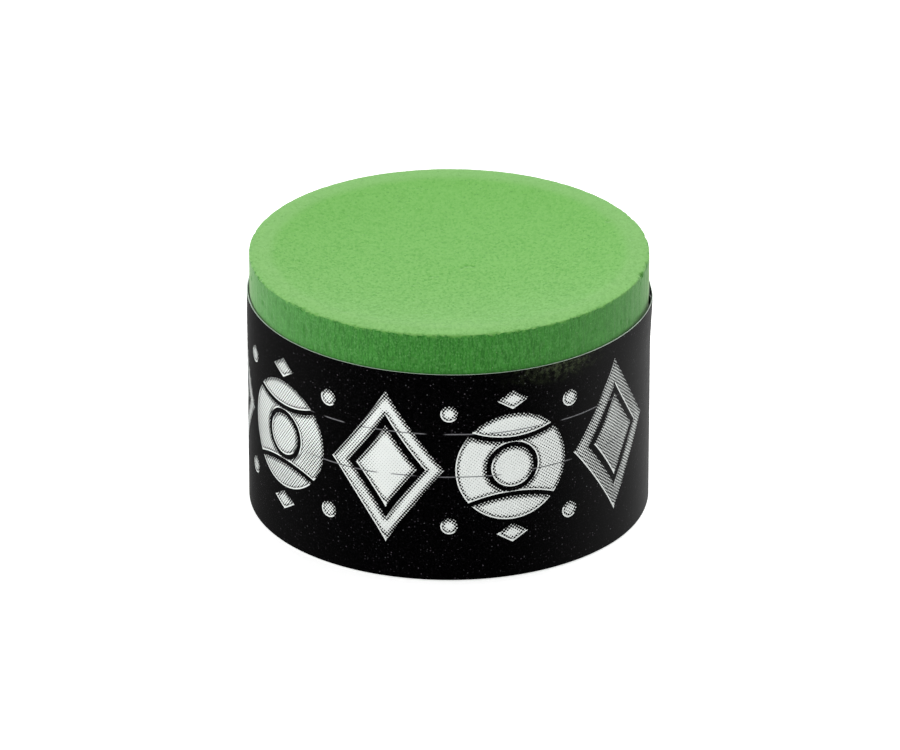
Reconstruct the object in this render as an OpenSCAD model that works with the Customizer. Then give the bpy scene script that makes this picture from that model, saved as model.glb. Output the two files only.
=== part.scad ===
// Round cue chalk: a pressed chalk puck with a shallow hollow in its top,
// and a printed, laminated label wrapped once round its side.
// Millimetres. Z points up. The origin is the centre of the base.
// The front of the label faces -Y, and the label's seam is at the +X side.

/* [Chalk puck] */
// Diameter of the pressed chalk
chalk_d = 28.5; // [28:0.5:34]
// Height of the pressed chalk
chalk_h = 19.1; // [18:0.1:24]
// Width of the flat ring round the hollow
flat_ring_w = 1.4; // [1:0.1:3]
// Depth of the hollow at its centre
hollow_depth = 0.9; // [0.5:0.1:1.6]
// Radius of the soft shoulder between the flat ring and the hollow
shoulder_r = 3; // [2:0.5:10]
// Bevel worn on the top and bottom edges
edge_bevel = 0.15; // [0.1:0.05:0.3]

/* [Label] */
// Height of the label
label_h = 16; // [15:0.1:17.5]
// Height of the label's lower edge above the base
label_lift = 0.1; // [0.05:0.05:0.4]
// Thickness of the adhesive under the label
adhesive_t = 0.03; // [0.02:0.01:0.06]
// Thickness of the black film
film_t = 0.09; // [0.06:0.01:0.15]
// Thickness of the silver foil printed on the film
foil_t = 0.02; // [0.01:0.01:0.03]
// Thickness of the clear laminate over the print
laminate_t = 0.04; // [0.03:0.01:0.08]

/* [Seam] */
// Angle from +X at which the label's free end stops
free_end_angle = 11; // [11:1:14]
// Angle by which the free end laps over the label's start
lap_angle = 15; // [10:1:15]
// Angle over which the label climbs onto its own start
climb_angle = 8; // [4:1:8]

/* [Silver motifs] */
// Number of motifs in the row
motif_count = 9; // [1:1:9]
// Angle between neighbouring motifs
motif_pitch = 36; // [35:0.5:36]
// Height of the row's middle line above the base
motif_z = 8.7; // [8:0.1:9]
// Height of a motif
motif_h = 11.8; // [10:0.1:12]
// Width of a lozenge
lozenge_w = 8.4; // [6:0.1:8.4]
// How full the lozenge's sides are: 1 is straight, less is hollow
lozenge_power = 0.94; // [0.7:0.02:0.98]
// Diameter of the striped ball
ball_d = 8.2; // [7:0.1:8.2]
// Diameter of a bead between two motifs
bead_d = 1.24; // [0.8:0.02:1.3]
// Width of the black lines cut through the ball
line_w = 0.35; // [0.2:0.05:0.5]

/* [Hidden] */
$fn = 180;

chalk_r = chalk_d / 2;
label_t = adhesive_t + film_t + foil_t + laminate_t;
adhesive_r = chalk_r;
film_r = adhesive_r + adhesive_t;
foil_r = film_r + film_t;
laminate_r = foil_r + foil_t;

// The hollow is part of a large sphere, joined to the flat ring by the rounded shoulder.
hollow_mouth_r = chalk_r - flat_ring_w;
hollow_ball_r = (pow(hollow_mouth_r, 2) + pow(hollow_depth, 2)) / (2 * hollow_depth) - shoulder_r;
hollow_ball_z = chalk_h - hollow_depth + hollow_ball_r;
meet_share = hollow_ball_r / (hollow_ball_r + shoulder_r);
meet_r = hollow_mouth_r * meet_share;
meet_z = hollow_ball_z - sqrt(pow(hollow_ball_r, 2) - pow(meet_r, 2));

// The label runs anticlockwise from its start, climbs onto itself and ends over the start.
lap_t = label_t;
step_angle = 1;
start_angle = free_end_angle - lap_angle;
raised_angle = start_angle - step_angle;
climb_start_angle = raised_angle - climb_angle;
climb_inset = 0.15;
climb_root_angle = 0.4;
climb_bend_angle = 0.1;

lozenge_points = 32;
rim_share = 0.68;
core_share = 0.54;
stripe_share = 0.52;
roundel_share = 0.38;
bead_height_share = 0.37;
front_angle = -90;
first_motif_angle = front_angle + 1.5 * motif_pitch;

// Point at radius r and angle a about the Z axis
function at_angle(r, a) = [r * cos(a), r * sin(a)];

// Half section of the chalk before the hollow is cut
module puck_section() {
    polygon([
        [0, 0],
        [chalk_r - edge_bevel, 0],
        [chalk_r, edge_bevel],
        [chalk_r, chalk_h - edge_bevel],
        [chalk_r - edge_bevel, chalk_h],
        [0, chalk_h]
    ]);
}

// Half section of what the hollow removes, with the shoulder left standing
module hollow_section() {
    intersection() {
        translate([0, hollow_ball_z]) circle(hollow_ball_r, $fn = 720);
        square([meet_r, chalk_h + 1]);
    }
    difference() {
        polygon([
            [meet_r, meet_z],
            [hollow_mouth_r, chalk_h],
            [hollow_mouth_r, chalk_h + 1],
            [meet_r, chalk_h + 1]
        ]);
        translate([hollow_mouth_r, chalk_h - shoulder_r]) circle(shoulder_r, $fn = 360);
    }
}

module chalk_puck() {
    color([0.45, 0.69, 0.37])
        rotate_extrude()
            difference() {
                puck_section();
                hollow_section();
            }
}

// Slice of pie between two angles, larger than any ring of the label
module pie_slice(from_angle, to_angle) {
    reach = 2 * chalk_d;
    polygon([[0, 0], at_angle(reach, from_angle), at_angle(reach, to_angle)]);
}

// Flat outline of a ring
module ring(inner_r, thickness) {
    difference() {
        circle(inner_r + thickness);
        circle(inner_r);
    }
}

// The climb's outline: a strip a little thinner than its layer, rooted in the rings at both ends
module climb(inner_r, thickness) {
    low_r = inner_r + climb_inset * thickness;
    high_r = inner_r + (1 - climb_inset) * thickness;
    polygon([
        at_angle(low_r, climb_start_angle - climb_root_angle),
        at_angle(low_r, climb_start_angle + climb_bend_angle),
        at_angle(low_r + lap_t, raised_angle - climb_bend_angle),
        at_angle(low_r + lap_t, raised_angle + climb_root_angle),
        at_angle(high_r + lap_t, raised_angle + climb_root_angle),
        at_angle(high_r + lap_t, raised_angle - climb_bend_angle),
        at_angle(high_r, climb_start_angle + climb_bend_angle),
        at_angle(high_r, climb_start_angle - climb_root_angle)
    ]);
}

// One layer of the label: the single turn, the climb and the lap over its own start
module wrapped_layer(inner_r, thickness) {
    translate([0, 0, label_lift]) {
        linear_extrude(label_h)
            difference() {
                ring(inner_r, thickness);
                pie_slice(climb_start_angle, start_angle);
            }
        linear_extrude(label_h)
            climb(inner_r, thickness);
        linear_extrude(label_h)
            intersection() {
                ring(inner_r + lap_t, thickness);
                pie_slice(raised_angle, free_end_angle);
            }
    }
}

module label_adhesive() {
    color([0.86, 0.86, 0.82])
        wrapped_layer(adhesive_r, adhesive_t);
}

module label_film() {
    color([0.06, 0.06, 0.07])
        wrapped_layer(film_r, film_t);
}

module clear_laminate() {
    color([0.75, 0.78, 0.80, 0.35])
        wrapped_layer(laminate_r, laminate_t);
}

// Lozenge with four hollow sides: a superellipse whose power is below one
module hollow_lozenge(h, w) {
    polygon([
        for (i = [0 : lozenge_points - 1])
            let (a = 360 * i / lozenge_points, bend = 2 / lozenge_power)
                [
                    w / 2 * sign(cos(a)) * pow(abs(cos(a)), bend),
                    h / 2 * sign(sin(a)) * pow(abs(sin(a)), bend)
                ]
    ]);
}

// Lozenge motif: a rim and a core, parted by a black line
module lozenge_motif() {
    difference() {
        hollow_lozenge(motif_h, lozenge_w);
        hollow_lozenge(motif_h * rim_share, lozenge_w * rim_share);
    }
    hollow_lozenge(motif_h * core_share, lozenge_w * core_share);
}

// Ball motif: a striped ball with a plain roundel, and a small lozenge above and below it
module ball_motif() {
    stripe_r = ball_d;
    stripe_half_w = ball_d * stripe_share / 2;
    roundel_r = ball_d * roundel_share / 2;
    small_lozenge_h = (motif_h - ball_d) / 2 - line_w;
    small_lozenge_w = small_lozenge_h * 1.6;
    difference() {
        circle(d = ball_d);
        for (side = [-1, 1])
            translate([0, side * (stripe_half_w + stripe_r)])
                ring(stripe_r - line_w / 2, line_w);
        ring(roundel_r, line_w);
    }
    for (side = [-1, 1])
        translate([0, side * (motif_h - small_lozenge_h) / 2])
            polygon([
                [small_lozenge_w / 2, 0],
                [0, small_lozenge_h / 2],
                [-small_lozenge_w / 2, 0],
                [0, -small_lozenge_h / 2]
            ]);
}

// Two beads, one high and one low, that stand between two motifs
module bead_pair() {
    for (side = [-1, 1])
        translate([0, side * motif_h * bead_height_share])
            circle(d = bead_d);
}

// Child outline turned to face outwards at one angle and wrapped onto the foil's ring
module on_foil(angle) {
    bow = foil_r - sqrt(pow(foil_r, 2) - pow(lozenge_w / 2, 2));
    margin = 0.5;
    intersection() {
        rotate([0, 0, angle])
            translate([foil_r - bow - margin, 0, motif_z])
                rotate([90, 0, 90])
                    linear_extrude(bow + 2 * margin)
                        children();
        rotate([0, 0, angle - motif_pitch / 2])
            rotate_extrude(angle = motif_pitch)
                translate([foil_r, 0])
                    square([foil_t, chalk_h]);
    }
}

// Foil motifs and beads, all lying between the film and the laminate
module silver_motifs() {
    color([0.86, 0.88, 0.87]) {
        for (i = [0 : motif_count - 1])
            on_foil(first_motif_angle - i * motif_pitch)
                if (i % 2 == 0) lozenge_motif();
                else ball_motif();
        for (i = [0.5 : motif_count - 1.5])
            on_foil(first_motif_angle - i * motif_pitch)
                bead_pair();
    }
}

chalk_puck();
label_adhesive();
label_film();
silver_motifs();
clear_laminate();
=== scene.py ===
import itertools
import math

import bmesh
import bpy
import numpy as np
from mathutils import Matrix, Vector
from mathutils.geometry import tessellate_polygon

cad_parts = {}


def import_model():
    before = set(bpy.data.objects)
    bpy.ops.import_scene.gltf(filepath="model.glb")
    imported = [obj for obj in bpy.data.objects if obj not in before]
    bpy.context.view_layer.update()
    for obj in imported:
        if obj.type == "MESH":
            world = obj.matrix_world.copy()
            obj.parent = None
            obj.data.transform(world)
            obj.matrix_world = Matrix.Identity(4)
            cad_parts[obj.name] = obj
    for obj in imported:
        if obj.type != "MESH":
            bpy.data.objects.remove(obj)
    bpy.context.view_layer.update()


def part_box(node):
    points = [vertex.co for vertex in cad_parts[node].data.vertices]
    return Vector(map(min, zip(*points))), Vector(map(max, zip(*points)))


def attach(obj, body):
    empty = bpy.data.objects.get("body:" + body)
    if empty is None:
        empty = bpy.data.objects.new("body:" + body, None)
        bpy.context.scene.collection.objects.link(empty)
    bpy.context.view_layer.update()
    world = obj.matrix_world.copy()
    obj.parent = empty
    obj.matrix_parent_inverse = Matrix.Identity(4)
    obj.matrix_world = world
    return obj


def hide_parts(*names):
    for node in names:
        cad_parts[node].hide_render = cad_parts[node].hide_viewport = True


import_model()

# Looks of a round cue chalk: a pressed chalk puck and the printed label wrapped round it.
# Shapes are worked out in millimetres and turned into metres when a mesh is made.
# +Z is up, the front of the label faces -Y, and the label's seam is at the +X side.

MM = 0.001

# Every pattern of noise and every run of random draws starts from this number plus one of its own
SEED = 11

# Sizes taken from the frame, in millimetres
CHALK_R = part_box("chalk_puck")[1].x / MM
CHALK_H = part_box("chalk_puck")[1].z / MM
LABEL_LOW, LABEL_HIGH = (corner.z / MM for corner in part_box("clear_laminate"))
LABEL_R = -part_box("clear_laminate")[0].x / MM
MOTIF_LOW, MOTIF_HIGH = (corner.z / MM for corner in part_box("silver_motifs"))
MOTIF_Z = (MOTIF_LOW + MOTIF_HIGH) / 2
MOTIF_H = MOTIF_HIGH - MOTIF_LOW

# Chalk top
FLAT_RING = 1.4
HOLLOW_DEPTH = 0.9
HOLLOW_POWER = 2.6
SHOULDER_W = 0.9

# Label, with angles in degrees from +X; the front is at 270
FRONT_ANGLE = 270.0
START_ANGLE = -4.0
FREE_END_ANGLE = 371.0
FILM_T = 0.09
FILM_T_AT_SEAM = 0.045
GLUE_T = 0.02
LAP_GAP = 0.012
SEAM_FLARE = 0.18
START_CURL = 0.12
CROOKED_WRAP = 0.10
LABEL_TILT = 0.12

# Silver motifs; the front lies midway between two of them
MOTIF_PITCH = 36.0
MOTIF_COUNT = 9
FIRST_MOTIF_ANGLE = FRONT_ANGLE + 1.5 * MOTIF_PITCH
LOZENGE_W = 8.4
LOZENGE_POWER = 0.94
RIM_SHARE = 0.68
CORE_SHARE = 0.54
BALL_D = 8.2
STRIPE_SHARE = 0.52
ROUNDEL_SHARE = 0.38
SMALL_LOZENGE_SPREAD = 1.6
LINE_W = 0.35
BEAD_R = 0.62
BEAD_HEIGHT_SHARE = 0.37
FOIL_PROUD = 0.012
FOIL_SUNK = 0.01


# -------- repeatable noise

def smooth(low, high, x):
    """0 up to low, 1 from high on, and an even S between; it falls where low is the larger."""
    t = np.clip((x - low) / (high - low), 0.0, 1.0)
    return t * t * (3 - 2 * t)


def lattice(ix, iy, iz, seed):
    """A repeatable number from -1 to 1 for each whole-number point, made by mixing its bits."""
    n = (ix * 73856093) ^ (iy * 19349663) ^ (iz * 83492791) ^ (seed * 26544357)
    n = (n ^ (n >> 13)) * 1274126177 & 0xFFFFFFFF
    n = (n ^ (n >> 15)) * 668265263 & 0xFFFFFFFF
    return ((n ^ (n >> 16)) & 0xFFFF) / 32767.5 - 1.0


def noise(points, size, seed, octaves=1):
    """Smooth noise from -1 to 1 whose blobs are about size across, with finer octaves added."""
    total, weight, reach = 0.0, 1.0, 0.0
    for octave in range(octaves):
        scaled = points / size * 2 ** octave
        cell = np.floor(scaled).astype(np.int64)
        f = scaled - cell
        ease = f * f * f * (f * (f * 6 - 15) + 10)
        value = 0.0
        for steps in itertools.product((0, 1), repeat=3):
            corner = lattice(*(cell[:, axis] + step for axis, step in enumerate(steps)), seed + octave)
            share = 1.0
            for axis, step in enumerate(steps):
                share = share * (ease[:, axis] if step else 1 - ease[:, axis])
            value = value + corner * share
        total = total + value * weight
        reach += weight
        weight *= 0.5
    return total / reach


def uneven(points, layers):
    """Layers of noise added up, each given as its height, its size, its seed and its octaves."""
    return sum(height * noise(points, size, SEED + seed, octaves) for height, size, seed, octaves in layers)


# -------- mesh helpers

SHARP_ANGLE = 40.0


def put_in_scene(name, data):
    """A new object that shows a mesh, a light or a camera."""
    made = bpy.data.objects.new(name, data)
    bpy.context.scene.collection.objects.link(made)
    return made


def make_object(name, points, faces, materials, smooth_shading=True):
    """A mesh object from points in millimetres."""
    mesh = bpy.data.meshes.new(name)
    mesh.from_pydata((np.asarray(points) * MM).tolist(), [], faces)
    for material in materials:
        mesh.materials.append(material)
    mesh.polygons.foreach_set("use_smooth", [smooth_shading] * len(mesh.polygons))
    mesh.update()
    return put_in_scene(name, mesh)


def stand_for(piece, slot, *nodes):
    """Shows piece in place of these CAD nodes, on the part's one body. The slot is not used."""
    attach(piece, "root")
    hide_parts(*nodes)


def give_values(piece, name, values):
    """Stores one number per vertex, or one vector per vertex, for the materials to read."""
    values = np.asarray(values, np.float32)
    kind, key = ("FLOAT_VECTOR", "vector") if values.ndim == 2 else ("FLOAT", "value")
    attribute = piece.data.attributes.new(name, kind, "POINT")
    attribute.data.foreach_set(key, values.ravel())


def sharpen(piece):
    """Marks sharp every edge between two faces that meet at more than SHARP_ANGLE."""
    mesh = bmesh.new()
    mesh.from_mesh(piece.data)
    for edge in mesh.edges:
        if len(edge.link_faces) == 2 and edge.calc_face_angle() > math.radians(SHARP_ANGLE):
            edge.smooth = False
    mesh.to_mesh(piece.data)
    mesh.free()


def grid_faces(rows, columns, start=0, rings=False):
    """Quads between points stored row by row; rings are closed rows that go outwards and down."""
    faces = []
    for row in range(rows - 1):
        for column in range(columns if rings else columns - 1):
            a = start + row * columns + column
            b = start + row * columns + (column + 1) % columns
            face = (a, b, b + columns, a + columns)
            faces.append(face[::-1] if rings else face)
    return faces


def evenly_round(count):
    """Angles of count points spread evenly round a circle, in radians."""
    return 2 * math.pi * np.arange(count) / count


# -------- node helpers

class Nodes:
    """A node tree being built: makes nodes and links them."""

    def __init__(self, tree):
        self.tree = tree

    def put(self, socket, value):
        """Links an input to another node's output, or sets it to a plain value."""
        if isinstance(value, bpy.types.NodeSocket):
            self.tree.links.new(value, socket)
        else:
            socket.default_value = value

    def node(self, kind, inputs=(), output=0, **settings):
        """A node with its settings and inputs set; returns one of its outputs."""
        made = self.tree.nodes.new(kind)
        for key, value in settings.items():
            setattr(made, key, value)
        for key, value in dict(inputs).items():
            self.put(made.inputs[key], value)
        return made.outputs[output]

    def math(self, operation, a, b=0.0, c=0.0):
        return self.node("ShaderNodeMath", {0: a, 1: b, 2: c}, operation=operation)

    def times(self, a, b):
        return self.math("MULTIPLY", a, b)

    def minus(self, a, b):
        return self.math("SUBTRACT", a, b)

    def power(self, a, b):
        return self.math("POWER", a, b)

    def remap(self, value, low, high, to_low=0.0, to_high=1.0):
        """Carries low to to_low and high to to_high, in an even S between."""
        values = {"Value": value, "From Min": low, "From Max": high, "To Min": to_low, "To Max": to_high}
        return self.node("ShaderNodeMapRange", values, interpolation_type="SMOOTHSTEP")

    def axis(self, vector, index):
        """One part of a vector: 0 for X, 1 for Y and 2 for Z."""
        return self.node("ShaderNodeSeparateXYZ", {0: vector}, output=index)

    def channel(self, colour, index):
        """One channel of a colour: 0 for red, 1 for green and 2 for blue."""
        return self.node("ShaderNodeSeparateColor", {0: colour}, output=index)

    def vector(self, x, y):
        return self.node("ShaderNodeCombineXYZ", {0: x, 1: y})

    def length(self, vector):
        return self.node("ShaderNodeVectorMath", {0: vector}, output="Value", operation="LENGTH")

    def camera_ray(self):
        """1 for what the camera sees directly, and 0 for light and reflections."""
        return self.node("ShaderNodeLightPath", output="Is Camera Ray")


class Look(Nodes):
    """A material being built round one Principled shader."""

    def __init__(self, name):
        self.material = bpy.data.materials.new(name)
        self.material.use_nodes = True
        super().__init__(self.material.node_tree)
        self.shader = self.tree.nodes["Principled BSDF"]

    def attribute(self, name, output="Fac"):
        """The values that give_values stored under a name."""
        return self.node("ShaderNodeAttribute", output=output, attribute_name=name)

    def place(self):
        """Where the point is, in metres of the frame."""
        return self.node("ShaderNodeTexCoord", output="Object")

    def facing(self):
        """0 where the surface is seen square on, rising to 1 where it is seen edge on."""
        return self.node("ShaderNodeLayerWeight", {"Blend": 0.5}, output="Facing")

    def scaled(self, vector, scale, turn=0.0):
        scale = scale if isinstance(scale, tuple) else (scale,) * 3
        return self.node("ShaderNodeMapping", {"Vector": vector, "Scale": scale, "Rotation": (0, 0, turn)})

    def noise(self, vector, scale, detail=3.0, roughness=0.6):
        values = {"Vector": vector, "Scale": scale, "Detail": detail, "Roughness": roughness}
        return self.node("ShaderNodeTexNoise", values)

    def cells(self, vector, scale):
        """Loose cells: the distance from each one's middle, and a random colour for each."""
        made = self.tree.nodes.new("ShaderNodeTexVoronoi")
        self.put(made.inputs["Vector"], vector)
        self.put(made.inputs["Scale"], scale)
        return made.outputs["Distance"], made.outputs["Color"]

    def sand(self, vector, scale):
        """Loose grains: small cells, each with an even shade of its own from 0 to 1."""
        return self.channel(self.cells(vector, scale)[1], 0)

    def mix(self, share, a, b):
        """Colour a where share is 0, colour b where it is 1."""
        return self.node("ShaderNodeMix", {0: share, 6: a, 7: b}, output=2, data_type="RGBA")

    def lay(self, under, over, mask, strength):
        """Colour over laid on colour under, as far as a mask from 0 to 1 and a strength allow."""
        return self.mix(self.times(mask, strength), under, over)

    def bump(self, height, distance_mm, strength):
        """A normal that makes the surface look raised by height times a distance."""
        values = {"Height": height, "Distance": distance_mm * MM, "Strength": strength}
        return self.node("ShaderNodeBump", values)

    def as_material(self, **values):
        """The material once its shader's inputs are set; _ stands for a space in an input's name."""
        for key, value in values.items():
            self.put(self.shader.inputs[key.replace("_", " ")], value)
        return self.material


def per_mm(blobs):
    """A texture scale for coordinates in metres, from how many blobs fit in a millimetre."""
    return blobs / MM


# -------- chalk material

TOP_GREEN = (0.107, 0.354, 0.052, 1)
TOP_SHADE = (0.072, 0.280, 0.031, 1)
TOP_POWDER = (0.179, 0.446, 0.100, 1)
# Painted sheen: a pale colour laid over the chalk where it is seen at a low angle, on the top and along the
# side's outline
TOP_PAINTED_SHEEN = (0.640, 0.740, 0.520, 1)
RING_POWDER = (0.280, 0.470, 0.200, 1)
SIDE_GREEN = (0.040, 0.240, 0.027, 1)
SIDE_SHADE = (0.014, 0.128, 0.009, 1)
SIDE_POWDER = (0.108, 0.345, 0.086, 1)
# Painted sheen on the side, where it is seen at a low angle
SIDE_PAINTED_SHEEN = (0.185, 0.435, 0.145, 1)
# Dark specks, and the painted shade in pores, nicks and holes
DARK_SPECK_AND_PIT_SHADE = (0.045, 0.190, 0.030, 1)
PALE_GRAIN = (0.330, 0.520, 0.240, 1)
CHALK_SHEEN = (0.9, 1.0, 0.88, 1)

# How far textures are drawn out, as a scale for each axis
DRAWN_BACKWARDS = (1, 0.62, 1)
DRAWN_UPRIGHT = (1, 1, 0.14)
SLIGHTLY_UPRIGHT = (1, 1, 0.7)

# The powder's contrast on the top grows from the back to the front, between two places in metres along Y
BACK_Y = 0.013
FRONT_Y = -0.011
BACK_CONTRAST = 0.60
FRONT_CONTRAST = 1.40
MEAN_POWDER = 0.625

# The most of the painted sheen that lies over the top when it is seen edge on
MOST_TOP_PAINTED_SHEEN = 0.17


def top_colour(look, place, grain, facing):
    """Green with soft blotches, grain, pale powder and a paler flat ring, and a painted sheen where the top
    is seen at a low angle.
    """
    blotches = look.remap(look.noise(place, per_mm(0.40), detail=5.0, roughness=0.7), 0.32, 0.68)
    colour = look.lay(TOP_GREEN, TOP_SHADE, blotches, strength=0.35)
    colour = look.lay(colour, TOP_SHADE, grain, strength=0.28)
    sand = look.sand(look.scaled(place, DRAWN_BACKWARDS), per_mm(7.6))
    contrast = look.remap(look.axis(place, 1), BACK_Y, FRONT_Y, BACK_CONTRAST, FRONT_CONTRAST)
    powder = look.minus(look.power(sand, 0.6), MEAN_POWDER)
    powder = look.math("MULTIPLY_ADD", powder, contrast, MEAN_POWDER)
    colour = look.lay(colour, TOP_POWDER, powder, strength=0.82)
    colour = look.lay(colour, RING_POWDER, look.attribute("ring"), strength=0.24)
    # Painted sheen: the top turns paler the lower the angle it is seen at, up to a limit
    painted_sheen = look.math("MINIMUM", look.times(look.power(facing, 6.0), 0.45), MOST_TOP_PAINTED_SHEEN)
    return look.mix(painted_sheen, colour, TOP_PAINTED_SHEEN)


def wall_colour(look, place, grain, facing):
    """Darker green with upright scoring and powder flecks, and a painted sheen that grows towards the
    outline, where the side is seen edge on.
    """
    upright = look.scaled(place, DRAWN_UPRIGHT)
    scoring = look.remap(look.noise(upright, per_mm(7.5), detail=4.0, roughness=0.9), 0.42, 0.58)
    colour = look.mix(scoring, SIDE_SHADE, SIDE_GREEN)
    colour = look.lay(colour, SIDE_SHADE, grain, strength=0.30)
    flecks = look.sand(look.scaled(place, SLIGHTLY_UPRIGHT), per_mm(10.5))
    colour = look.lay(colour, SIDE_POWDER, look.power(flecks, 3.0), strength=0.48)
    # Painted sheen: paler as the side is seen more edge on, and palest right at its outline
    colour = look.lay(colour, SIDE_PAINTED_SHEEN, look.power(facing, 1.5), strength=0.66)
    return look.lay(colour, TOP_PAINTED_SHEEN, look.power(facing, 8.0), strength=0.4)


def specks_and_painted_shade(look, place, colour):
    """The colour with dark specks and pale grains, and painted shade in the pores, nicks and side holes and
    where the rim has crumbled.
    """
    dark = look.noise(place, per_mm(4.2), detail=2.0, roughness=0.6)
    colour = look.mix(look.remap(dark, 0.62, 0.72, to_high=0.45), colour, DARK_SPECK_AND_PIT_SHADE)
    pale = look.noise(look.scaled(place, 1.0, turn=0.7), per_mm(5.2), detail=1.0, roughness=0.5)
    colour = look.mix(look.remap(pale, 0.73, 0.82, to_high=0.40), colour, PALE_GRAIN)
    # Painted shade: darker in the pores, nicks and side holes, as far as they are deep
    colour = look.lay(colour, DARK_SPECK_AND_PIT_SHADE, look.attribute("pit_shade"), strength=0.45)
    # Painted shade where the rim has crumbled and chipped, as far as chalk was lost there
    return look.lay(colour, TOP_SHADE, look.attribute("worn"), strength=0.25)


def chalk_bump(look, place, side):
    """Fine grain all over, with upright scoring added on the side."""
    scoring = look.noise(look.scaled(place, DRAWN_UPRIGHT), per_mm(5.5), detail=2.0)
    fine = look.noise(place, per_mm(8.0), detail=4.0, roughness=0.75)
    height = look.math("MULTIPLY_ADD", look.times(scoring, side), 0.8, fine)
    return look.bump(height, distance_mm=0.03, strength=look.remap(side, 0.0, 1.0, 0.4, 0.8))


def chalk_look():
    """Pressed powder: one look for the top and one for the side, with specks over both."""
    look = Look("pressed_chalk")
    place = look.place()
    drawn = look.scaled(place, DRAWN_BACKWARDS)
    grain = look.remap(look.noise(drawn, per_mm(3.4), detail=4.0, roughness=0.9), 0.38, 0.62)
    facing = look.facing()
    side = look.attribute("side")
    top = top_colour(look, place, grain, facing)
    wall = wall_colour(look, place, grain, facing)
    return look.as_material(
        Base_Color=specks_and_painted_shade(look, place, look.mix(side, top, wall)),
        Roughness=look.remap(grain, 0.0, 1.0, 0.86, 0.98),
        Specular_IOR_Level=0.2,
        Sheen_Weight=0.15,
        Sheen_Roughness=0.5,
        Sheen_Tint=CHALK_SHEEN,
        Normal=chalk_bump(look, place, side),
    )


# -------- label materials

FILM_BLACK = (0.0004, 0.0004, 0.0005, 1)
FILM_HAZE = (0.8, 0.7, 0.85, 1)
WARM_SPECK = (1.0, 0.80, 1.0, 1)
COOL_SPECK = (0.9, 1.0, 1.0, 1)
SCRATCH_ON_BLACK = (0.16, 0.16, 0.17, 1)
SCRATCH_ON_SILVER = (0.12, 0.13, 0.14, 1)
DUST_GREEN = (0.060, 0.085, 0.030, 1)
CUT_EDGE_DARK = (0.50, 0.58, 0.52, 1)
CUT_EDGE_PALE = (0.74, 0.82, 0.76, 1)
# Painted shade on the cut edge where it lies under the lap
TUCKED_EDGE_SHADE = (0.010, 0.020, 0.010, 1)
GLUE_DARK = (0.020, 0.028, 0.018, 1)
GLUE_PALE = (0.045, 0.060, 0.040, 1)
SILVER = (0.92, 0.96, 0.93, 1)
DULL_SILVER = (0.80, 0.85, 0.82, 1)

# Scratches on the unrolled label, in millimetres: each one's height and where its noise is read from,
# half widths of its core and its soft edge, how far it drifts, and the spans over which both fade
SCRATCHES = ((11.5, 0.0), (8.2, 37.0))
SCRATCH_CORE = 0.03
SCRATCH_EDGE = 0.055
SCRATCH_DRIFT = 0.5
GAPS_SHIFT = 9.0
FADES_IN = (-12.0, -9.0)
FADES_OUT = (15.0, 12.0)

# Print made of dots: the lattice's pitch in millimetres and its turn in degrees
DOT_PITCH = 0.193
DOT_TURN = -52.5


def scratches(look, flat):
    """Two broken scratches that run level round the front of the label."""
    along = look.axis(flat, 0)
    height = look.axis(flat, 1)
    total = 0.0
    for level, shift in SCRATCHES:
        drift = look.noise(look.vector(along, shift), 0.12, detail=1.0)
        middle = look.math("MULTIPLY_ADD", drift, SCRATCH_DRIFT, level - SCRATCH_DRIFT / 2)
        off = look.math("ABSOLUTE", look.minus(height, middle))
        gaps = look.noise(look.vector(along, shift + GAPS_SHIFT), 0.33, detail=1.0)
        line = look.times(look.remap(off, SCRATCH_EDGE, SCRATCH_CORE), look.remap(gaps, 0.43, 0.50))
        total = look.math("MAXIMUM", line, total)
    reach = look.times(look.remap(along, *FADES_IN), look.remap(along, *FADES_OUT))
    return look.times(total, reach)


def film_colour(look, flat):
    """Black with faint tinted specks, few of them bright, and a fainter haze of grain."""
    away, shades = look.cells(flat, 4.6)
    bright = look.times(look.power(look.channel(shades, 0), 5.0), 0.075)
    tint = look.mix(look.channel(shades, 1), WARM_SPECK, COOL_SPECK)
    colour = look.mix(look.times(look.remap(away, 0.30, 0.12), bright), FILM_BLACK, tint)
    grain = look.remap(look.noise(flat, 7.0, detail=2.0, roughness=0.7), 0.50, 0.80, to_high=0.010)
    return look.mix(grain, colour, FILM_HAZE)


def film_look():
    """Black gloss film with faint specks, level scratches and a smudge of chalk."""
    look = Look("black_film")
    flat = look.attribute("flat", "Vector")
    smears = look.remap(look.noise(flat, 2.2, detail=4.0, roughness=0.7), 0.4, 0.7)
    smudge = look.times(look.attribute("dusty"), smears)
    colour = look.mix(smudge, film_colour(look, flat), DUST_GREEN)
    rough = look.remap(look.noise(flat, 1.3, detail=4.0), 0.3, 0.7, 0.14, 0.22)
    return look.as_material(
        Base_Color=look.mix(scratches(look, flat), colour, SCRATCH_ON_BLACK),
        Roughness=look.math("MULTIPLY_ADD", smudge, 0.4, rough),
        Specular_IOR_Level=look.remap(look.axis(flat, 1), 0.0, LABEL_HIGH, 0.28, 0.5),
        Normal=look.bump(look.noise(flat, 0.9, detail=2.0), distance_mm=0.02, strength=0.2),
    )


def cut_edge_look():
    """The pale cut edge of the laminated film, with painted shade where it lies under the lap."""
    look = Look("film_cut_edge")
    streaks = look.noise(look.place(), per_mm(4.0), detail=2.0)
    pale = look.mix(streaks, CUT_EDGE_DARK, CUT_EDGE_PALE)
    return look.as_material(
        Base_Color=look.mix(look.attribute("tucked_shade"), pale, TUCKED_EDGE_SHADE),
        Roughness=0.5,
    )


def glue_look():
    """Clear-grey adhesive seen only in the gap behind the label."""
    look = Look("label_glue")
    blobs = look.noise(look.place(), per_mm(2.0), detail=2.0)
    return look.as_material(Base_Color=look.mix(blobs, GLUE_DARK, GLUE_PALE), Roughness=0.35)


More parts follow.
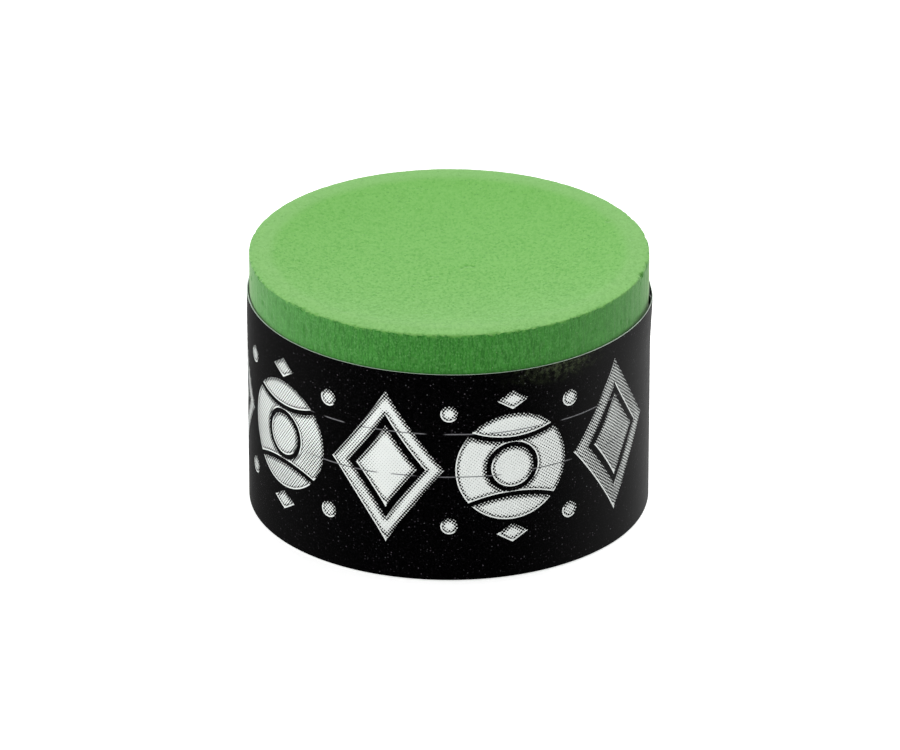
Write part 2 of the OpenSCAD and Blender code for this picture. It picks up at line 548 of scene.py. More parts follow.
def print_dots(look, flat):
    """1 on the black dots of the print, and 0 on the silver between them and on its bright outline."""
    place = look.scaled(flat, 1 / DOT_PITCH, math.radians(DOT_TURN))
    across = look.minus(look.math("FRACT", look.axis(place, 0)), 0.5)
    up = look.minus(look.math("FRACT", look.axis(place, 1)), 0.5)
    from_middle = look.length(look.vector(across, up))
    inset = look.attribute("inset")
    edge_dot_r = look.times(look.remap(inset, 0.52, 0.12), 0.50)
    dot_r = look.math("MAXIMUM", edge_dot_r, look.attribute("shade"))
    dots = look.remap(look.minus(from_middle, dot_r), 0.05, -0.05)
    lit_edge = look.remap(look.attribute("lit_edge"), 0.0, 0.25)
    outline = look.times(look.remap(inset, 0.12, 0.08), lit_edge)
    return look.times(dots, look.minus(1.0, outline))


def foil_look():
    """Silver print in a slanted lattice of dots, denser at the edges, with a bright outline."""
    look = Look("silver_print")
    flat = look.attribute("flat", "Vector")
    dots = print_dots(look, flat)
    silver = look.mix(look.remap(look.noise(flat, 0.8), 0.3, 0.7, to_high=0.25), SILVER, DULL_SILVER)
    silver = look.lay(silver, SCRATCH_ON_SILVER, scratches(look, flat), strength=0.85)
    return look.as_material(
        Base_Color=look.mix(dots, silver, FILM_BLACK),
        Metallic=look.times(look.minus(1.0, dots), 0.12),
        Roughness=look.remap(dots, 0.0, 1.0, 0.38, 0.25),
        Specular_IOR_Level=0.4,
        Coat_Weight=0.35,
        Coat_Roughness=0.08,
        Coat_IOR=1.4,
    )


# -------- chalk puck

# Each ring of points on the top has SECTORS points more than the ring inside it. From the last one on,
# every ring has COLUMNS points: over the rim, down the side, behind the label and round the base.
# Steps are in millimetres, those over the rim before they are stretched to fill it, and the hidden
# levels are heights above the base.
SECTORS = 8
RINGS = 112
COLUMNS = SECTORS * RINGS
RIM_ZONE = 0.6
RIM_STEPS = (0.10, 0.10, 0.08, 0.07, 0.06, 0.05, 0.04, 0.04, 0.03, 0.02)
NEAR_RIM_STEPS = (0.02, 0.03, 0.04, 0.04, 0.05, 0.06, 0.07, 0.08)
FIRST_EXPOSED_STEP = 0.1
EXPOSED_STEP = 0.105
BEHIND_LABEL = 0.5
HIDDEN_LEVELS = (13.0, 9.0, 5.0, 1.5, 0.35, 0.15)
BASE_BEVEL = 0.15
BASE_MIDDLE_INSET = 1.5
PROFILE_POINTS = 601

# Unevenness in layers: height and size in millimetres, seed and octaves. The top is calmer at its rim.
TOP_UNEVEN = ((0.030, 5.0, 10, 2), (0.008, 0.9, 11, 2), (0.005, 0.28, 12, 2))
CALM_SHARE = 0.35
CALM_WIDTH = 0.3
SIDE_SCORING = ((0.012, 0.30, 20, 2), (0.008, 1.1, 21, 1))
SCORING_STRETCH = (1, 1, 0.07)
SIDE_GRAIN = ((0.009, 0.25, 22, 2),)
SIDE_SUNK = 0.012
HOLE_DEPTH = 0.05
HOLE_SIZE = 0.5
HOLE_EDGE = (0.62, 0.9)

# The wall is the side above its lowest rings, and is marked from just under the label's edge upwards
WALL_LOW = 1.0
MARKED = (LABEL_HIGH - 0.6, LABEL_HIGH + 0.2)

# The rim is rounded, and a loss at its corner both lowers it and moves it a little sideways
RIM_SOFT = 0.5
RIM_DROP = 0.05
LOSS_SHARE = 0.75
SIDEWAYS_SHARE = 0.3

# What the rim's corner has lost, in millimetres, and the share of it that the back has lost.
# The front begins and ends where a point's place along -Y, as a share of the radius, is in this span.
RIM_LOSS = 0.035
RIM_CRUMBLE = ((0.020, 0.9, 1, 2), (0.080, 0.30, 2, 2))
RIM_RAGGED = ((0.50, 0.22, 30, 2),)
DENT_DEPTH = 0.06
DENT_SIZE = 0.7
DENT_EDGE = (0.55, 0.95)
BACK_LOSS_SHARE = 0.45
FRONT_SPAN = (-0.6, 0.4)
LEAST_LOSS = 0.01
MOST_LOSS = 0.42

# Chips in the rim: angle in degrees, half width and depth in millimetres; then the ranges of small ones
CHIPS = (
    (-93.5, 0.22, 0.10),
    (-17.0, 0.45, 0.24),
    (-10.5, 1.20, 0.18),
    (-50.0, 0.30, 0.09),
    (-136.0, 0.40, 0.09),
)
SMALL_CHIP_COUNT = 70
SMALL_CHIP_RANGES = ((0, 360), (0.12, 0.45), (0.02, 0.11))
CHIP_FLOOR_SHARE = 0.35

# Nicks in the top: x, y, radius and depth in millimetres; then the ranges of the smaller pores
NICKS = (
    (0.88, -1.10, 0.26, 0.060),
    (1.20, -0.78, 0.30, 0.065),
    (1.66, -0.86, 0.24, 0.055),
    (-1.30, -2.60, 0.24, 0.040),
    (11.4, 5.1, 0.28, 0.050),
    (-2.5, -4.1, 0.20, 0.035),
    (-1.9, 6.0, 0.20, 0.035),
)
PORE_COUNT = 90
PORE_REACH = 0.985
PORE_R = (0.13, 0.20)
PORE_DEPTH = (0.01, 0.04)
PIT_FLOOR_SHARE = 0.2

# Depths in millimetres at which the painted shade in pores and nicks and along a crumbled edge is full, and
# the span over which the flat ring takes its full colour, measured outwards from the hollow's mouth
FULL_PIT = 0.08
FULL_CHIP_SHADE = 0.12
RING_SPAN = (-0.7, 0.2)

# Crumbs at the corner: bare patches of the top look like the side, and dusted ones of the side like the
# top. The spans are millimetres in from the side and down from the rim.
CRUMB_SIZE = 0.26
CRUMB_EDGE = (0.05, 0.45)
BARE_SHARE = 0.85
BARE_SPAN = (0.26, 0.04)
DUSTED_SHARE = 0.7
DUSTED_SPAN = (0.28, 0.06)


def top_profile(r):
    """Height of the top at radius r: a flat ring, a soft shoulder and a shallow round hollow."""
    steps = np.linspace(0, CHALK_R, PROFILE_POINTS)
    mouth = CHALK_R - FLAT_RING
    cut = HOLLOW_DEPTH * np.clip(1 - (steps / mouth) ** HOLLOW_POWER, 0, None)
    reach = int(SHOULDER_W / 2 / steps[1])
    window = 2 * reach + 1
    soft = np.convolve(np.pad(cut, reach, "edge"), np.ones(window) / window, "valid")
    return CHALK_H - np.interp(r, steps, soft)


def rim_loss(angle):
    """How much of the rim's corner has crumbled away at each angle in radians, in millimetres."""
    rim = np.stack([np.cos(angle), np.sin(angle), 0 * angle], 1) * CHALK_R
    loss = RIM_LOSS + uneven(rim, RIM_CRUMBLE)
    loss += DENT_DEPTH * smooth(*DENT_EDGE, noise(rim, DENT_SIZE, SEED + 3))
    chips = list(CHIPS)
    draw = np.random.default_rng(SEED)
    for _ in range(SMALL_CHIP_COUNT):
        chips.append([draw.uniform(*span) for span in SMALL_CHIP_RANGES])
    for at, half_width, depth in chips:
        turn = np.abs((np.degrees(angle) - at + 180) % 360 - 180)
        loss += depth * (1 - smooth(CHIP_FLOOR_SHARE * half_width, half_width, np.radians(turn) * CHALK_R))
    front = smooth(*FRONT_SPAN, -np.sin(angle))
    return np.clip(loss * (BACK_LOSS_SHARE + (1 - BACK_LOSS_SHARE) * front), LEAST_LOSS, MOST_LOSS)


def top_pits(x, y):
    """Depth at each point of the pores over the top and of the few larger nicks."""
    draw = np.random.default_rng(SEED + 5)
    r = CHALK_R * np.sqrt(draw.uniform(0, 1, PORE_COUNT)) * PORE_REACH
    a = draw.uniform(0, 2 * math.pi, PORE_COUNT)
    radius = draw.uniform(*PORE_R, PORE_COUNT)
    depth = draw.uniform(*PORE_DEPTH, PORE_COUNT)
    pores = np.stack([r * np.cos(a), r * np.sin(a), radius, depth], 1)
    total = np.zeros(len(x))
    for pit_x, pit_y, pit_r, pit_depth in np.vstack([pores, NICKS]):
        away = np.hypot(x - pit_x, y - pit_y) / pit_r
        total += pit_depth * (1 - smooth(PIT_FLOOR_SHARE, 1.0, away))
    return total


def ring_triangles(ring, inside, outside):
    """Triangles between a ring of the top and the one inside it, given the first point of each."""
    count = SECTORS * ring
    inner_count = max(SECTORS * (ring - 1), 1)
    faces = []
    for sector, j in itertools.product(range(SECTORS), range(ring)):
        o0 = outside + (sector * ring + j) % count
        o1 = outside + (sector * ring + j + 1) % count
        i0 = inside + (sector * (ring - 1) + j) % inner_count
        faces.append((i0, o0, o1))
        if j < ring - 1:
            i1 = inside + (sector * (ring - 1) + j + 1) % inner_count
            faces.append((i0, o1, i1))
    return faces


def top_disc():
    """Radius and angle of the points inside the rim, the first point of the last ring, and the faces."""
    points = [(0.0, 0.0)]
    faces = []
    inside = 0
    for ring in range(1, RINGS + 1):
        outside = len(points)
        r = (CHALK_R - RIM_ZONE) * ring / RINGS
        points += [(r, a) for a in evenly_round(SECTORS * ring)]
        faces += ring_triangles(ring, inside, outside)
        inside = outside
    return np.array(points), inside, faces


def outer_rings():
    """Radius and height of each ring past the disc; those on the rim have no height of their own yet."""
    rim_r = CHALK_R - RIM_ZONE + np.cumsum(RIM_STEPS) * RIM_ZONE / np.sum(RIM_STEPS)
    near_rim = RIM_DROP + np.cumsum(NEAR_RIM_STEPS)
    below_label_edge = CHALK_H - LABEL_HIGH + BEHIND_LABEL
    exposed = np.arange(near_rim[-1] + FIRST_EXPOSED_STEP, below_label_edge, EXPOSED_STEP)
    side_z = np.concatenate([CHALK_H - near_rim, CHALK_H - exposed, HIDDEN_LEVELS])
    radius = np.concatenate([rim_r, np.full(len(side_z), CHALK_R), [CHALK_R - BASE_BEVEL]])
    height = np.concatenate([np.full(len(rim_r), np.nan), side_z, [0.0]])
    return radius, height


def puck_grid():
    """Radius, angle and height of the puck's points, a mask of those on its top, and the faces."""
    disc, last_ring, faces = top_disc()
    ring_r, ring_z = outer_rings()
    faces += grid_faces(len(ring_r) + 1, COLUMNS, start=last_ring, rings=True)
    r = np.concatenate([disc[:, 0], np.repeat(ring_r, COLUMNS)])
    a = np.concatenate([disc[:, 1], np.tile(evenly_round(COLUMNS), len(ring_r))])
    z = np.concatenate([np.full(len(disc), np.nan), np.repeat(ring_z, COLUMNS)])
    is_top = np.isnan(z)
    return r, a, np.where(is_top, top_profile(r), z), is_top, faces


def close_base(points, faces):
    """Adds the faces that close the base; returns the points with a smaller ring and a centre added."""
    base_ring = len(points) - COLUMNS
    start = len(points)
    a = evenly_round(RINGS)
    inner = np.stack([np.cos(a), np.sin(a), 0 * a], 1) * (CHALK_R - BASE_MIDDLE_INSET)
    centre = start + RINGS
    for j in range(RINGS):
        i0 = start + j
        i1 = start + (j + 1) % RINGS
        for k in range(SECTORS):
            o0 = base_ring + SECTORS * j + k
            o1 = base_ring + (SECTORS * j + k + 1) % COLUMNS
            faces.append((o0, i0 if k < SECTORS // 2 else i1, o1))
        faces.append((base_ring + SECTORS * j + SECTORS // 2, i0, i1))
        faces.append((i0, centre, i1))
    return np.vstack([points, inner, [[0, 0, 0]]])


def side_share(still, is_top, wall, below_rim):
    """How far each point looks like the side and not like the top, with patches of crumbs at the corner."""
    crumbs = noise(still, CRUMB_SIZE, SEED + 31, 2)
    in_from_side = CHALK_R - np.hypot(still[:, 0], still[:, 1])
    bare = smooth(*CRUMB_EDGE, crumbs) * smooth(*BARE_SPAN, in_from_side)
    dusted = smooth(*CRUMB_EDGE, -crumbs) * smooth(*DUSTED_SPAN, below_rim) * wall
    return np.where(is_top, BARE_SHARE * bare, 1 - DUSTED_SHARE * dusted)


def ring_share(still, is_top):
    """How far each point lies on the flat ring round the hollow."""
    past_mouth = np.hypot(still[:, 0], still[:, 1]) - (CHALK_R - FLAT_RING)
    return smooth(*RING_SPAN, past_mouth) * is_top


def chalk_piece():
    """The puck: uneven and pitted on top, scored on its side, and crumbled along its rim."""
    r, a, z, is_top, faces = puck_grid()
    still = np.stack([r * np.cos(a), r * np.sin(a), z], 1)
    wall = ~is_top & (still[:, 2] > WALL_LOW)

    pits = np.zeros(len(r))
    pits[is_top] = top_pits(still[is_top, 0], still[is_top, 1])
    calm = CALM_SHARE + (1 - CALM_SHARE) * smooth(0.0, CALM_WIDTH, CHALK_R - r)
    z = z + np.where(is_top, uneven(still, TOP_UNEVEN) * calm - pits, 0.0)

    scoring = uneven(still * np.array(SCORING_STRETCH), SIDE_SCORING) + uneven(still, SIDE_GRAIN)
    holes = HOLE_DEPTH * smooth(*HOLE_EDGE, noise(still, HOLE_SIZE, SEED + 23))
    marked = smooth(*MARKED, still[:, 2])
    r = r + np.where(wall, (scoring - holes - SIDE_SUNK) * marked, 0.0)

    in_from_rim = np.clip((CHALK_R - r) / RIM_SOFT, 0, 1)
    z = z - np.where(is_top, RIM_DROP * (1 - np.sqrt(1 - (1 - in_from_rim) ** 2)), 0)
    loss = rim_loss(a) * (1 + uneven(still, RIM_RAGGED))
    below_rim = CHALK_H - RIM_DROP - still[:, 2]
    drop = np.where(is_top, np.clip(loss - (CHALK_R - r), 0, None) * LOSS_SHARE, 0.0)
    shave = np.where(wall, np.clip(loss - below_rim, 0, None) * LOSS_SHARE, 0.0)
    z = z - drop - SIDEWAYS_SHARE * shave
    r = r - shave - SIDEWAYS_SHARE * drop

    points = close_base(np.stack([r * np.cos(a), r * np.sin(a), z], 1), faces)
    piece = make_object("chalk_body", points, faces, [chalk_look()])
    values = {
        "side": side_share(still, is_top, wall, below_rim),
        # Mask of the painted shade in the pores, nicks and side holes
        "pit_shade": np.clip(pits / FULL_PIT + holes * wall / HOLE_DEPTH, 0, 1),
        # Mask of the painted shade in the crumbled and chipped rim
        "worn": np.clip((drop + shave) / FULL_CHIP_SHADE, 0, 1),
        "ring": ring_share(still, is_top),
    }
    for name, shares in values.items():
        give_values(piece, name, np.append(shares, np.zeros(len(points) - len(still))))
    stand_for(piece, "chalk", "chalk_puck")


# -------- label

LABEL_COLUMNS = 939
LABEL_ROWS = 41

# Spans of angle, in degrees, over which the label changes along its length
SETTLES = (START_ANGLE, 34.0)
CURLS = (START_ANGLE, START_ANGLE + 1.4)
# Span over which the painted shade on the cut edge under the lap grows
TUCKED = (START_ANGLE + 0.8, START_ANGLE + 1.6)
RISES = (START_ANGLE + 2, 60.0)
THICKENS = (START_ANGLE + 10, START_ANGLE + 40)
WAVES_GROW = (START_ANGLE, START_ANGLE + 20)
CLEARS_LAP = (40.0, 70.0)
CLIMBS = (322.0, 352.0)
THINS = (320.0, 350.0)
FLARES = (320.0, 352.0)
PRESSED_BACK = (354.0, 364.0)
PRESSED_SHARE = 0.75

# Spans of height, in millimetres, over which the label stands off, is tilted and is dusty
STANDS_OFF = (LABEL_HIGH - 4.5, LABEL_HIGH + 0.6)
TILTS = (LABEL_HIGH - 5.0, LABEL_HIGH)
DUSTY = (LABEL_HIGH - 1.8, LABEL_HIGH)
DUST_ALONG = 8.3
DUST_HALF_W = 2.6

# Waves in the film, and how far the adhesive stays back from the film, the chalk and the label's edges
WAVE_HEIGHT = 0.010
WAVE_SIZE = 6.0
GLUE_BEHIND_FILM = 0.002
GLUE_OFF_CHALK = 0.006
GLUE_ABOVE_LOW = 0.2
GLUE_BELOW_HIGH = 0.5


def label_r(angle, z):
    """Radius of the label's outer face: tight at the seam, a little loose elsewhere, flared near its end."""
    tight = CHALK_R + GLUE_T + FILM_T_AT_SEAM
    lap = smooth(*CLIMBS, angle)
    around = smooth(*SETTLES, angle) * (LABEL_R - tight)
    around = around * (1 - lap) + lap * (FILM_T_AT_SEAM + LAP_GAP)
    flare = smooth(*FLARES, angle) * (1 - PRESSED_SHARE * smooth(*PRESSED_BACK, angle))
    curl = 1 - smooth(*CURLS, angle)
    stand_off = (SEAM_FLARE * flare + START_CURL * curl) * smooth(*STANDS_OFF, z)
    place = np.stack([np.radians(angle) * LABEL_R, 0 * z, z], 1)
    wave = WAVE_HEIGHT * noise(place, WAVE_SIZE, SEED + 40) * smooth(*WAVES_GROW, angle) * (1 - lap)
    return tight + around + stand_off + wave


def label_height(angle, z):
    """Height once the top edge is tilted down to the right and its start is lower than its free end."""
    low_start = CROOKED_WRAP * (1 - smooth(*RISES, angle))
    tilt = LABEL_TILT * np.cos(np.radians(angle))
    return z - (tilt + low_start) * smooth(*TILTS, z)


def film_t(angle):
    """Thickness of the film, pressed thinner where it laps over itself."""
    away = smooth(*THICKENS, angle) * (1 - smooth(*THINS, angle))
    return FILM_T_AT_SEAM + (FILM_T - FILM_T_AT_SEAM) * away


def flat_place(angle, z):
    """Place on the unrolled label, in millimetres: along from the front, and height."""
    return np.stack([np.radians(angle - FRONT_ANGLE) * LABEL_R, z, 0 * z], 1)


def ring_points(angle, radius, z):
    """Points at angles in degrees, radii and heights."""
    a = np.radians(angle)
    return np.stack([radius * np.cos(a), radius * np.sin(a), z], 1)


def label_grid(low, high):
    """Angle and height of the label's points between two heights, row by row."""
    angle, z = np.meshgrid(
        np.linspace(START_ANGLE, FREE_END_ANGLE, LABEL_COLUMNS),
        np.linspace(low, high, LABEL_ROWS),
    )
    return angle.ravel(), z.ravel()


def sheet_faces(rows, columns):
    """Faces of a closed sheet whose outside points come first: those of its sides, and its cut edges."""
    count = rows * columns
    outside = grid_faces(rows, columns)
    inside = [tuple(count + i for i in reversed(face)) for face in outside]
    edges = []
    for low in range(columns - 1):
        high = (rows - 1) * columns + low
        edges += [(low + 1, low), (high, high + 1)]
    for first in range(0, (rows - 1) * columns, columns):
        last = first + columns - 1
        edges += [(first, first + columns), (last + columns, last)]
    return outside + inside, [(a, b, count + b, count + a) for a, b in edges]


def wrapped_sheet(name, angle, z, outer_depth, inner_depth, materials):
    """A closed sheet wrapped once round the chalk, with the last material on its cut edges.

    Its two sides lie at the two depths under the label's outer face."""
    outer = label_r(angle, z)
    z = label_height(angle, z)
    outside = ring_points(angle, outer - outer_depth, z)
    inside = ring_points(angle, outer - inner_depth, z)
    sides, edges = sheet_faces(LABEL_ROWS, LABEL_COLUMNS)
    piece = make_object(name, np.vstack([outside, inside]), sides + edges, materials)
    slots = [0] * len(sides) + [len(materials) - 1] * len(edges)
    piece.data.polygons.foreach_set("material_index", slots)
    piece.data.polygons.foreach_set("use_smooth", [True] * len(sides) + [False] * len(edges))
    sharpen(piece)
    give_values(piece, "flat", np.tile(flat_place(angle, z), (2, 1)))
    # Painted shade for the cut edge under the lap, fading out where the lap is cleared
    tucked_shade = smooth(*TUCKED, angle) * (1 - smooth(*CLEARS_LAP, angle))
    give_values(piece, "tucked_shade", np.tile(tucked_shade, 2))
    return piece


def label_wrap():
    """The printed film and its laminate, with chalk dust along the top edge at the right."""
    angle, z = label_grid(LABEL_LOW, LABEL_HIGH)
    wrap = wrapped_sheet("label_wrap", angle, z, 0, film_t(angle), [film_look(), cut_edge_look()])
    along, height, _ = flat_place(angle, label_height(angle, z)).T
    dusty = np.exp(-((along - DUST_ALONG) / DUST_HALF_W) ** 2) * smooth(*DUSTY, height)
    give_values(wrap, "dusty", np.tile(dusty, 2))
    stand_for(wrap, "film", "label_film", "clear_laminate")


def label_glue():
    """The adhesive between the film and the chalk."""
    angle, z = label_grid(LABEL_LOW + GLUE_ABOVE_LOW, LABEL_HIGH - GLUE_BELOW_HIGH)
    film = film_t(angle)
    outer_depth = film + GLUE_BEHIND_FILM
    inner_depth = film + GLUE_T - GLUE_OFF_CHALK
    glue = wrapped_sheet("label_glue", angle, z, outer_depth, inner_depth, [glue_look()])
    stand_for(glue, "adhesive", "label_adhesive")


# -------- silver motifs

# Points along an outline's curves
CURVE_POINTS = 96
BEAD_POINTS = 32
STRIPE_POINTS = 33
CAP_POINTS = 41
BAND_END_POINTS = 17

# Motifs are cut along even lines, set a little off the motif's middle, so that they can bend
GRID_STEP = 0.3
GRID_SHIFT = 0.37
CUT_TOLERANCE = 1e-6

# Outlines that face this way, to the lower left, have a bright line along them
LIT_SIDE = (-0.6, -0.8)

# The print's dots, as a share of their pitch: at the front, how much they grow between two angles from
# the front in degrees, and how far they vary, as a layer of noise
FRONT_DOT = 0.11
DOT_GROWTH = ((0.21, -19, -27), (0.15, 12, 30), (0.17, 32, 46))
DOT_VARIES = ((0.05, 2.6, 50, 1),)


def hollow_lozenge(share):
    """Outline of a lozenge with hollow sides, at a share of the motif's size."""
    a = evenly_round(CURVE_POINTS)
    bend = 2 / LOZENGE_POWER
    x = LOZENGE_W * share / 2 * np.sign(np.cos(a)) * np.abs(np.cos(a)) ** bend
    y = MOTIF_H * share / 2 * np.sign(np.sin(a)) * np.abs(np.sin(a)) ** bend
    return np.stack([x, y], 1)


def small_lozenge(height, y):
    """Outline of a lozenge with straight sides, whose middle is at y."""
    half_w = height * SMALL_LOZENGE_SPREAD / 2
    half_h = height / 2
    return np.array([(half_w, y), (0, y + half_h), (-half_w, y), (0, y - half_h)])


def circle(radius, count, y=0.0):
    """Outline of a circle whose middle is at y."""
    a = evenly_round(count)
    return np.stack([radius * np.cos(a), y + radius * np.sin(a)], 1)


def mirrored(outline, x, y):
    """An outline with its x and y each multiplied by 1 or -1, and still anticlockwise."""
    return (outline * [x, y])[::-1]


def stripe_line(radius):
    """One line of the ball's stripe, from left to right, and the angle at which it meets the ball's edge."""
    ball_r = BALL_D / 2
    centre_y = BALL_D * STRIPE_SHARE / 2 + BALL_D
    meet_y = (ball_r ** 2 - radius ** 2 + centre_y ** 2) / (2 * centre_y)
    meet_x = math.sqrt(ball_r ** 2 - meet_y ** 2)
    x = np.linspace(-meet_x, meet_x, STRIPE_POINTS)
    return np.stack([x, centre_y - np.sqrt(radius ** 2 - x ** 2)], 1), math.atan2(meet_y, meet_x)


def ball_edge(start, end, count):
    """Points of the ball's edge between two angles in radians, without the two ends."""
    a = np.linspace(start, end, count)[1:-1]
    return BALL_D / 2 * np.stack([np.cos(a), np.sin(a)], 1)


# A motif is a list of islands. An island is its outline, anticlockwise, and then its holes, clockwise.

def lozenge_motif():
    """A rim and a core, parted by a black line."""
    rim = [hollow_lozenge(1), hollow_lozenge(RIM_SHARE)[::-1]]
    core = [hollow_lozenge(CORE_SHARE)]
    return [rim, core]


def ball_motif():
    """A ball with a curved stripe and a plain roundel, and a small lozenge above and below it."""
    line, meet = stripe_line(BALL_D - LINE_W / 2)
    cap = np.vstack([line, ball_edge(meet, math.pi - meet, CAP_POINTS)])
    line, meet = stripe_line(BALL_D + LINE_W / 2)
    top = line[::-1]
    right = ball_edge(-meet, meet, BAND_END_POINTS)
    band = np.vstack([top, mirrored(right, -1, 1), mirrored(top, 1, -1), right])
    roundel_r = BALL_D * ROUNDEL_SHARE / 2
    gap = circle(roundel_r + LINE_W, CURVE_POINTS)[::-1]
    small_h = (MOTIF_H - BALL_D) / 2 - LINE_W
    small_y = (MOTIF_H - small_h) / 2
    return [
        [cap],
        [mirrored(cap, 1, -1)],
        [band, gap],
        [circle(roundel_r, CURVE_POINTS)],
        [small_lozenge(small_h, small_y)],
        [small_lozenge(small_h, -small_y)],
    ]


def bead_motif():
    """Two small beads, one high and one low."""
    return [[circle(BEAD_R, BEAD_POINTS, side * MOTIF_H * BEAD_HEIGHT_SHARE)] for side in (1, -1)]


def outline_values(points, loops):
    """Distance in from the nearest outline at each point, and how far that outline faces the lit side."""
    a = np.vstack(loops)
    b = np.vstack([np.roll(loop, -1, axis=0) for loop in loops])
    run = b - a
    length2 = np.maximum((run ** 2).sum(1), 1e-12)
    rel = points[:, None, :] - a[None]
    t = np.clip((rel * run[None]).sum(2) / length2[None], 0, 1)
    away = np.linalg.norm(rel - t[..., None] * run[None], axis=2)
    outward = np.stack([run[:, 1], -run[:, 0]], 1) / np.sqrt(length2)[:, None]
    return away.min(1), outward[away.argmin(1)] @ np.array(LIT_SIDE)


def dot_share(angle, z):
    """Radius of the print's dots, as a share of their pitch: small near the front, large at the right."""
    turn = (angle - FRONT_ANGLE + 180) % 360 - 180
    share = FRONT_DOT + sum(growth * smooth(start, end, turn) for growth, start, end in DOT_GROWTH)
    place = np.stack([np.radians(turn) * LABEL_R, z, 0 * z], 1)
    return share + uneven(place, DOT_VARIES)


def flat_motif(islands):
    """A flat mesh of the islands, in millimetres round the motif's middle."""
    mesh = bmesh.new()
    for loops in islands:
        outlines = [[Vector((x, y, 0)) for x, y in loop] for loop in loops]
        made = [mesh.verts.new(point) for outline in outlines for point in outline]
        for corners in tessellate_polygon(outlines):
            mesh.faces.new([made[i] for i in corners])
    bmesh.ops.recalc_face_normals(mesh, faces=mesh.faces)
    return mesh


def cut_into_grid(mesh):
    """Cuts a flat mesh along even lines both ways, and turns all its faces to the front."""
    for axis in (Vector((1, 0, 0)), Vector((0, 1, 0))):
        last = int(max(abs(v.co.dot(axis)) for v in mesh.verts) / GRID_STEP)
        for i in range(-last, last + 1):
            geometry = mesh.verts[:] + mesh.edges[:] + mesh.faces[:]
            place = axis * (i + GRID_SHIFT) * GRID_STEP
            bmesh.ops.bisect_plane(mesh, geom=geometry, dist=CUT_TOLERANCE, plane_co=place, plane_no=axis)
    for face in mesh.faces:
        if face.normal.z < 0:
            face.normal_flip()


def add_thin_edges(mesh):
    """Gives a flat mesh a sharp outline and thin side walls; returns the walls' lower points."""
    outline = [edge for edge in mesh.edges if len(edge.link_faces) == 1]
    for edge in outline:
        edge.smooth = False
    walls = bmesh.ops.extrude_edge_only(mesh, edges=outline)
    return {v for v in walls["geom"] if isinstance(v, bmesh.types.BMVert)}


def motif_piece(name, islands, angle, look):
    """One motif cut into a fine grid, bent onto the label and given thin edges down to the film."""
    mesh = flat_motif(islands)
    cut_into_grid(mesh)
    low = add_thin_edges(mesh)
    flat = np.array([v.co[:2] for v in mesh.verts])
    sunk = np.array([v in low for v in mesh.verts])
    inset, lit = outline_values(flat, [loop for island in islands for loop in island])

    z = MOTIF_Z + flat[:, 1]
    turn = angle + np.degrees(flat[:, 0] / LABEL_R)
    points = ring_points(turn, label_r(turn, z) + np.where(sunk, -FOIL_SUNK, FOIL_PROUD), z)
    for vertex, place in zip(mesh.verts, points):
        vertex.co = Vector(place) * MM
    bmesh.ops.recalc_face_normals(mesh, faces=mesh.faces)
    data = bpy.data.meshes.new(name)
    mesh.to_mesh(data)
    mesh.free()
    data.materials.append(look)
    data.polygons.foreach_set("use_smooth", [True] * len(data.polygons))

    piece = put_in_scene(name, data)
    values = {"flat": flat_place(turn, z), "inset": inset, "lit_edge": lit, "shade": dot_share(turn, z)}
    for key, numbers in values.items():
        give_values(piece, key, numbers)
    stand_for(piece, "foil", "silver_motifs")


def motif_pieces():
    """Lozenges and balls in turn round the label, with a pair of beads between neighbours."""
    look = foil_look()
    for i in range(MOTIF_COUNT):
        kind, islands = ("lozenge", lozenge_motif()) if i % 2 == 0 else ("ball", ball_motif())
        angle = FIRST_MOTIF_ANGLE - i * MOTIF_PITCH
        motif_piece(f"silver_{kind}_{i + 1}", islands, angle, look)
        if i < MOTIF_COUNT - 1:
            motif_piece(f"silver_beads_{i + 1}", bead_motif(), angle - MOTIF_PITCH / 2, look)


# -------- floor, light and camera

WHITE = (1, 1, 1, 1)
SKY = (0.8, 0.8, 0.8, 1)
FLOOR_DARK = (0.88, 0.88, 0.88, 1)
FLOOR_PALE = (0.90, 0.90, 0.90, 1)

# Floor in millimetres, and its glow: the distances in metres at which it is faint and full
FLOOR_HALF_W = 1500.0
FLOOR_BELOW = 0.01
GLOW_SPAN = (0.04, 0.15)
FAINT_GLOW = 0.55

# Soft lights: place and width in metres, and power in watts
SOFT_LIGHTS = {
    "top_softbox": ((0.08, 0.22, 0.40), 0.36, 1.78),
    "front_left_softbox": ((-0.30, -0.40, 0.22), 0.24, 0.70),
    "front_softbox": ((-0.06, -0.50, 0.24), 0.24, 0.50),
    "left_softbox": ((-0.50, 0.05, 0.14), 0.30, 1.0),
    "right_softbox": ((0.50, 0.05, 0.14), 0.30, 0.52),
}

# Camera: rise in degrees, distances in metres, lens and sensor in millimetres, and shifts as shares of
# the sensor's width
CAMERA_RISE = 25.47
CAMERA_AWAY = 0.5615
NEAREST_SEEN = 0.05
LENS = 313.5
SENSOR_W = 36.0
SHIFT_X = 0.00094
SHIFT_Y = -0.0044

CHALK_MIDDLE = Vector((0, 0, CHALK_H / 2 * MM))


def floor_look():
    """Pale and matt, and glowing for the camera only, more so further from the chalk."""
    look = Look("pale_floor")
    mottle = look.remap(look.noise(look.place(), 9.0, detail=4.0), 0.3, 0.7)
    glow = look.remap(look.length(look.place()), *GLOW_SPAN, FAINT_GLOW, 1.0)
    return look.as_material(
        Base_Color=look.mix(mottle, FLOOR_DARK, FLOOR_PALE),
        Roughness=0.9,
        Specular_IOR_Level=0.1,
        Emission_Color=WHITE,
        Emission_Strength=look.times(look.camera_ray(), glow),
    )


def stage():
    """A wide flat floor just under the chalk, which doesn't show in reflections."""
    w, z = FLOOR_HALF_W, -FLOOR_BELOW
    corners = [(-w, -w, z), (w, -w, z), (w, w, z), (-w, w, z)]
    floor = make_object("floor", corners, [(0, 1, 2, 3)], [floor_look()], smooth_shading=False)
    floor.visible_glossy = False


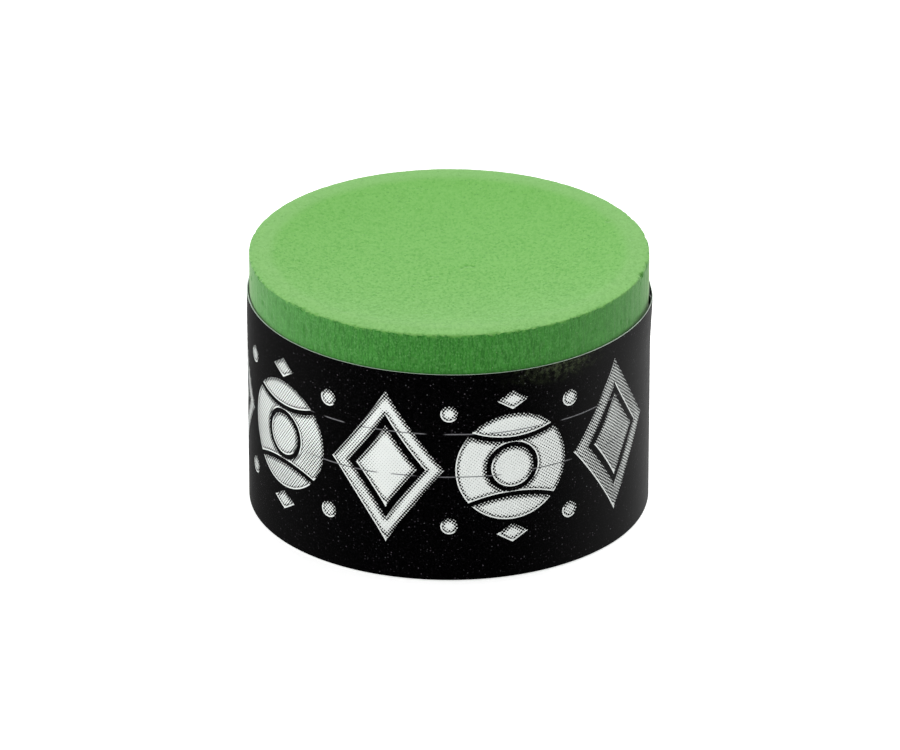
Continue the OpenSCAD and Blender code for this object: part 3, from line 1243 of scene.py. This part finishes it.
def world():
    """White to the camera; in reflections pale above and dim below, dimmest at the front and left."""
    sky = bpy.data.worlds.new("studio")
    bpy.context.scene.world = sky
    sky.use_nodes = True
    nodes = Nodes(sky.node_tree)
    nodes.tree.nodes.clear()
    towards = nodes.node("ShaderNodeTexCoord", output="Generated")
    behind = nodes.remap(nodes.axis(towards, 1), low=-0.90, high=0.30, to_low=0.0, to_high=0.28)
    sideways = nodes.remap(nodes.axis(towards, 0), low=-0.60, high=0.40, to_low=0.35, to_high=1.0)
    below = nodes.times(behind, sideways)
    strength = nodes.remap(nodes.axis(towards, 2), low=-0.15, high=0.20, to_low=below, to_high=0.45)
    soft = nodes.node("ShaderNodeBackground", {"Color": SKY, "Strength": strength})
    white = nodes.node("ShaderNodeBackground", {"Color": WHITE})
    seen = nodes.node("ShaderNodeMixShader", {0: nodes.camera_ray(), 1: soft, 2: white})
    out = nodes.tree.nodes.new("ShaderNodeOutputWorld")
    nodes.put(out.inputs["Surface"], seen)


def aim_at_chalk(thing, place):
    """Puts a light or camera at a place in metres and turns it to the middle of the chalk."""
    thing.location = place
    thing.rotation_euler = (CHALK_MIDDLE - Vector(place)).to_track_quat("-Z", "Y").to_euler()


def soft_light(name, place, width, watts):
    """A square light turned to the chalk."""
    data = bpy.data.lights.new(name, "AREA")
    data.shape = "SQUARE"
    data.size = width
    data.energy = watts
    aim_at_chalk(put_in_scene(name, data), place)


def camera():
    """A long lens in front of the chalk and above it."""
    data = bpy.data.cameras.new("camera")
    data.sensor_width = SENSOR_W
    data.lens = LENS
    data.shift_x = SHIFT_X
    data.shift_y = SHIFT_Y
    data.clip_start = NEAREST_SEEN
    eye = put_in_scene("camera", data)
    rise = math.radians(CAMERA_RISE)
    aim_at_chalk(eye, CHALK_MIDDLE + CAMERA_AWAY * Vector((0, -math.cos(rise), math.sin(rise))))
    bpy.context.scene.camera = eye


chalk_piece()
label_wrap()
label_glue()
motif_pieces()
stage()
world()
for name, (place, width, watts) in SOFT_LIGHTS.items():
    soft_light(name, place, width, watts)
camera()
bpy.context.scene.view_settings.view_transform = "Standard"
